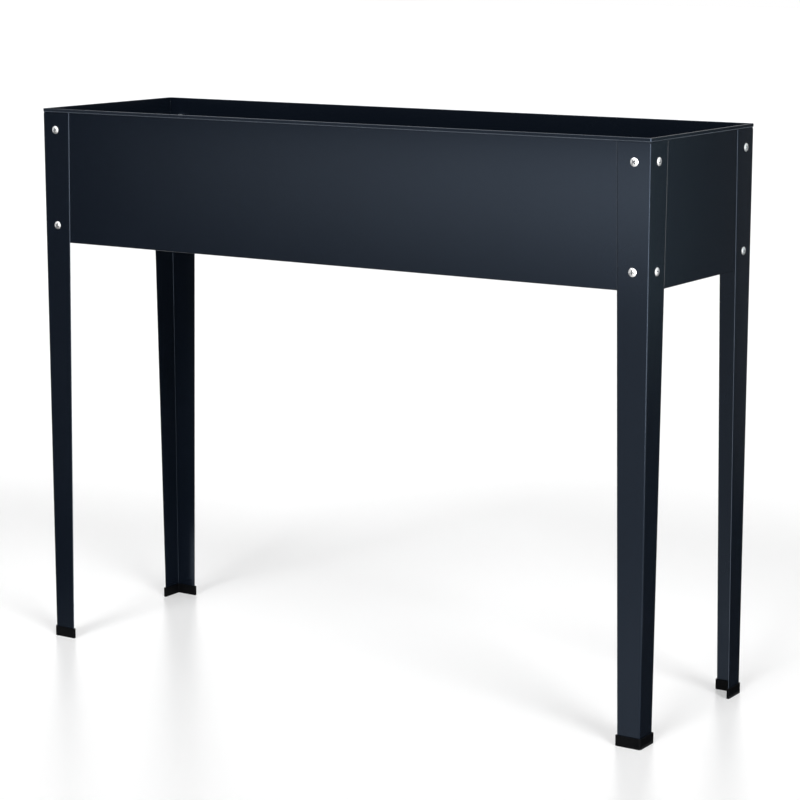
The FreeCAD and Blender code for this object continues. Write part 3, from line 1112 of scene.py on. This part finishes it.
    def build(self) -> Iterator[bpy.types.Object]:
        """Makes each leg's screws, and then each leg's nuts.

        Returns:
            The pieces, one by one.
        """
        for label, make, finishes, fastener in (
            ("screws", "threaded", (ZINC_SCREW, ZINC_WITH_PAINTED_RECESS_SHADE), self.screw()),
            ("nuts", "chamfered", (ZINC_NUT,), self.nut()),
        ):
            single = mesh_of(fastener, label)
            for corner in Corner:
                bm = self.set_of(single, corner)
                yield self.dress(bm, f"{label}_{corner.label}", make, corner.place(), *finishes)
            bpy.data.meshes.remove(single)


# Studio

# Spans of a blend along a card, in millimetres, that have the whole card past them or before them
PAST, BEFORE = (-9001.0, -9000.0), (9000.0, 9001.0)
# Span in which the cards at the front fade out towards their left ends
FRONT_FADE = (-700.0, -1100.0)


def away_from_front(turn: float, rise: float) -> Vector:
    """Unit direction that many degrees from the front to the right, and up."""
    across, up = math.radians(turn), math.radians(rise)
    return Vector((math.sin(across) * math.cos(up), -math.cos(across) * math.cos(up), math.sin(up)))


def add_seen_strength(tree: bpy.types.NodeTree, unseen: float, seen: float) -> bpy.types.NodeSocket:
    """Adds a strength for what is seen directly, in gloss or through glass, and another for the rest.

    Args:
        tree: Tree that takes the nodes.
        unseen: Strength for light that only falls on things.
        seen: Strength for what is seen.

    Returns:
        The strength's socket.
    """
    path = add_node(tree, "ShaderNodeLightPath")
    ray = path.outputs["Is Camera Ray"]
    for kind in ("Is Glossy Ray", "Is Transmission Ray"):
        ray = add_node(
            tree, "ShaderNodeMath", {0: ray, 1: path.outputs[kind]}, operation="MAXIMUM").outputs[0]
    strength = add_node(tree, "ShaderNodeMapRange", {"Value": ray}, {"To Min": unseen, "To Max": seen})
    return strength.outputs["Result"]


@dataclass(frozen=True)
class SoftLamp:
    """A lamp far away: its direction as degrees from the front to the right and up, and its spread."""

    name: str
    turn: float
    rise: float
    spread: float
    strength: float

    def hang(self) -> None:
        """Hangs the lamp."""
        light = bpy.data.lights.new(self.name, "SUN")
        light.angle = math.radians(self.spread)
        light.energy = self.strength
        lamp = add_object(self.name, light)
        lamp.rotation_euler = away_from_front(self.turn, self.rise).to_track_quat("Z", "Y").to_euler()


@dataclass(frozen=True)
class Card:
    """A card that only reflections see, and only its face. It shapes the sheen and lights nothing."""

    name: str
    centre: tuple[float, float, float]
    width: float
    height: float
    bright: str
    dim: str = "#000000"
    bright_across: tuple[float, float] = PAST
    bright_up: tuple[float, float] = PAST
    low_share: float = 0.0
    strength: float = 1.0
    turn: float = 0.0
    lean: float = 0.0
    clear_across: tuple[float, float] = BEFORE

    def material(self) -> bpy.types.Material:
        """Shade of the card.

        Returns:
            A glow that goes from dim to bright across the card and up it. It is clear at its back, at one
            end where that is asked for, and to the floor's mirror.
        """
        material = bpy.data.materials.new(self.name)
        material.use_nodes = True
        tree = material.node_tree
        tree.nodes.clear()
        place = add_node(tree, "ShaderNodeTexCoord").outputs["Object"]
        axes = add_node(tree, "ShaderNodeSeparateXYZ", {"Vector": place})
        shares = [
            add_node(
                tree, "ShaderNodeMapRange", {"Value": axes.outputs[axis]},
                {"From Min": start * MM, "From Max": full * MM, "To Min": least},
            ).outputs["Result"]
            for axis, (start, full), least in (
                ("X", self.bright_across, 0.0), ("Y", self.bright_up, self.low_share))
        ]
        share = add_node(
            tree, "ShaderNodeMath", {0: shares[0], 1: shares[1]}, operation="MULTIPLY").outputs[0]
        shade = add_node(
            tree, "ShaderNodeMix", {MIX_FACTOR: share},
            {MIX_A: linear(self.dim), MIX_B: linear(self.bright)}, data_type="RGBA")
        glow = add_node(
            tree, "ShaderNodeEmission", {"Color": shade.outputs[MIX_COLOUR]}, {"Strength": self.strength})
        start, full = self.clear_across
        clear = add_node(
            tree, "ShaderNodeMapRange", {"Value": axes.outputs["X"]},
            {"From Min": start * MM, "From Max": full * MM}).outputs["Result"]
        back = add_node(tree, "ShaderNodeNewGeometry").outputs["Backfacing"]
        mirror = add_node(tree, "ShaderNodeLightPath").outputs["Is Singular Ray"]
        for other in (back, mirror):
            clear = add_node(tree, "ShaderNodeMath", {0: clear, 1: other}, operation="MAXIMUM").outputs[0]
        glass = add_node(tree, "ShaderNodeBsdfTransparent")
        sided = add_node(tree, "ShaderNodeMixShader", {0: clear, 1: glow.outputs[0], 2: glass.outputs[0]})
        add_node(tree, "ShaderNodeOutputMaterial", {"Surface": sided.outputs[0]})
        return material

    def stand(self) -> None:
        """Stands the card on the stage, with its face to the bed."""
        upright = Matrix.Rotation(QUARTER_TURN - math.radians(self.lean), 4, "X")
        turned = Matrix.Rotation(math.radians(self.turn), 4, "Z")
        place = Matrix.Translation(Vector(self.centre) * MM) @ turned @ upright
        to_bed = (CAD_BOX[0] + CAD_BOX[1]) / 2 - place.translation
        bm = bmesh.new()
        bmesh.ops.create_grid(bm, x_segments=1, y_segments=1, size=0.5 * MM)
        bmesh.ops.scale(bm, vec=(self.width, self.height, 1), verts=bm.verts)
        if place.col[2].xyz.dot(to_bed) < 0:
            bmesh.ops.reverse_faces(bm, faces=bm.faces)
        mesh = mesh_of(bm, self.name)
        mesh.materials.append(self.material())
        card = add_object(self.name, mesh)
        card.matrix_world = place
        for sight in ("camera", "diffuse", "shadow", "transmission", "volume_scatter"):
            setattr(card, f"visible_{sight}", False)


@dataclass
class Studio:
    """Pale floor, soft lamps, cards and the camera."""

    floor_span: float = 60000.0
    floor_tone: str = "#ececec"
    floor_glow: float = 0.3
    floor_gloss: float = 0.3
    floor_blur: float = 0.11
    backdrop: str = "#ffffff"
    fill_strength: float = 0.25
    lamps: tuple[SoftLamp, ...] = (
        SoftLamp("left_soft_lamp", turn=3.0, rise=35.0, spread=22.0, strength=1.5),
        SoftLamp("right_soft_lamp", turn=62.0, rise=35.0, spread=22.0, strength=1.6),
    )
    cards: tuple[Card, ...] = (
        Card("front_backing", centre=(-600.0, -920.0, 1000.0), width=3400.0, height=2000.0,
             bright="#353535", clear_across=FRONT_FADE),
        Card("front_card", centre=(-600.0, -900.0, 365.0), width=3400.0, height=730.0,
             bright="#ffffff", dim="#353535", bright_across=(-490.0, 740.0), bright_up=(107.0, 272.0),
             low_share=0.27, strength=2.4, clear_across=FRONT_FADE),
        Card("rim_card", centre=(-600.0, -900.0, 870.0), width=3400.0, height=100.0,
             bright="#ffffff", dim="#e4e4e4", bright_across=(-520.0, 740.0), clear_across=FRONT_FADE),
        Card("right_card", centre=(850.0, 870.0, 600.0), width=1300.0, height=1200.0, turn=90.0,
             bright="#84999f", dim="#2d3336", bright_across=(-80.0, -460.0), bright_up=(-300.0, -80.0),
             clear_across=(80.0, 640.0)),
        Card("front_rug", centre=(-900.0, -530.0, 4.0), width=3600.0, height=720.0, lean=90.0,
             bright="#f4f4f4", dim="#353535", bright_across=(200.0, 1200.0)),
        Card("right_rug", centre=(700.0, 1800.0, 4.0), width=420.0, height=4000.0, lean=90.0,
             bright="#2f3030"),
        Card("edge_card", centre=(1600.0, -1900.0, 900.0), width=2400.0, height=1800.0, turn=40.0,
             bright="#ffffff", dim="#f4f4f4", bright_across=(-250.0, 250.0), bright_up=(-900.0, 900.0),
             strength=13.0),
        Card("top_card", centre=(-900.0, -300.0, 2300.0), width=1600.0, height=1200.0, lean=90.0,
             bright="#ffffff", dim="#f4f4f4", bright_across=(-800.0, 800.0), bright_up=(-600.0, 600.0),
             strength=7.0),
        Card("right_top_card", centre=(1100.0, 300.0, 1700.0), width=900.0, height=1600.0, lean=90.0,
             bright="#ffffff", dim="#f4f4f4", bright_across=(-450.0, 450.0), bright_up=(-800.0, 800.0),
             strength=4.0),
    )
    camera_turn: float = 33.09
    camera_rise: float = 10.62
    camera_distance: float = 3576.0
    camera_lens: float = 111.9
    aim: tuple[float, float, float] = (20.0, 11.3, 392.4)

    def floor_material(self) -> bpy.types.Material:
        """Shade of the floor.

        Returns:
            A pale, slightly polished material that is white where nothing shades it.
        """
        material = bpy.data.materials.new("white_studio_floor")
        material.use_nodes = True
        tree = material.node_tree
        shader = tree.nodes["Principled BSDF"]
        shader.inputs["Base Color"].default_value = linear(self.floor_tone)
        shader.inputs["Roughness"].default_value = 0.0
        shader.inputs["Specular IOR Level"].default_value = self.floor_gloss
        shader.inputs["Emission Color"].default_value = linear(self.backdrop)
        tree.links.new(add_seen_strength(tree, 0.0, self.floor_glow), shader.inputs["Emission Strength"])
        # A mirror under a fine scatter of slopes, so that the cards tell its rays from the coat's gloss
        place = add_node(tree, "ShaderNodeTexCoord").outputs["Object"]
        scatter = add_node(tree, "ShaderNodeTexWhiteNoise", {"Vector": place})
        blur = self.floor_blur
        slope = add_node(
            tree, "ShaderNodeVectorMath", {0: scatter.outputs["Color"]},
            {1: (2 * blur, 2 * blur, 0), 2: (-blur, -blur, 1)}, operation="MULTIPLY_ADD")
        tree.links.new(slope.outputs[0], shader.inputs["Normal"])
        return material

    def lay_floor(self) -> None:
        """Lays a large floor."""
        bm = bmesh.new()
        bmesh.ops.create_grid(bm, x_segments=1, y_segments=1, size=self.floor_span / 2 * MM)
        mesh = mesh_of(bm, "floor")
        mesh.materials.append(self.floor_material())
        floor = add_object("floor", mesh)

    def light_world(self) -> None:
        """Gives an even fill, and a white background to what is seen directly or by reflection."""
        world = bpy.data.worlds.new("studio")
        world.use_nodes = True
        tree = world.node_tree
        background = tree.nodes["Background"]
        background.inputs["Color"].default_value = linear(self.backdrop)
        tree.links.new(add_seen_strength(tree, self.fill_strength, 1.0), background.inputs["Strength"])
        bpy.context.scene.world = world

    def set_camera(self) -> None:
        """Sets the camera at the photograph's angle."""
        back = away_from_front(self.camera_turn, self.camera_rise)
        data = bpy.data.cameras.new("camera")
        data.lens = self.camera_lens
        camera = add_object("camera", data)
        camera.location = (Vector(self.aim) + back * self.camera_distance) * MM
        camera.rotation_euler = back.to_track_quat("Z", "Y").to_euler()
        bpy.context.scene.camera = camera

    def build(self) -> None:
        """Makes the studio."""
        bpy.context.scene.view_settings.view_transform = "Standard"
        self.lay_floor()
        self.light_world()
        for lamp in self.lamps:
            lamp.hang()
        for card in self.cards:
            card.stand()
        self.set_camera()


def main() -> None:
    """Builds the sub-assemblies in order, reports each piece and then builds the studio."""
    logging.basicConfig(level=logging.INFO, format="%(name)s: %(message)s")
    count = 0
    for assembly in (FoldedPanels(), BaseTray(), AngleLegs(), FootCaps(), Fasteners()):
        for piece in assembly.build():
            LOG.info("%s: %d faces", piece.name, len(piece.data.polygons))
            count += 1
    LOG.info("%d pieces dressed", count)
    Studio().build()


if __name__ == "__main__":
    main()
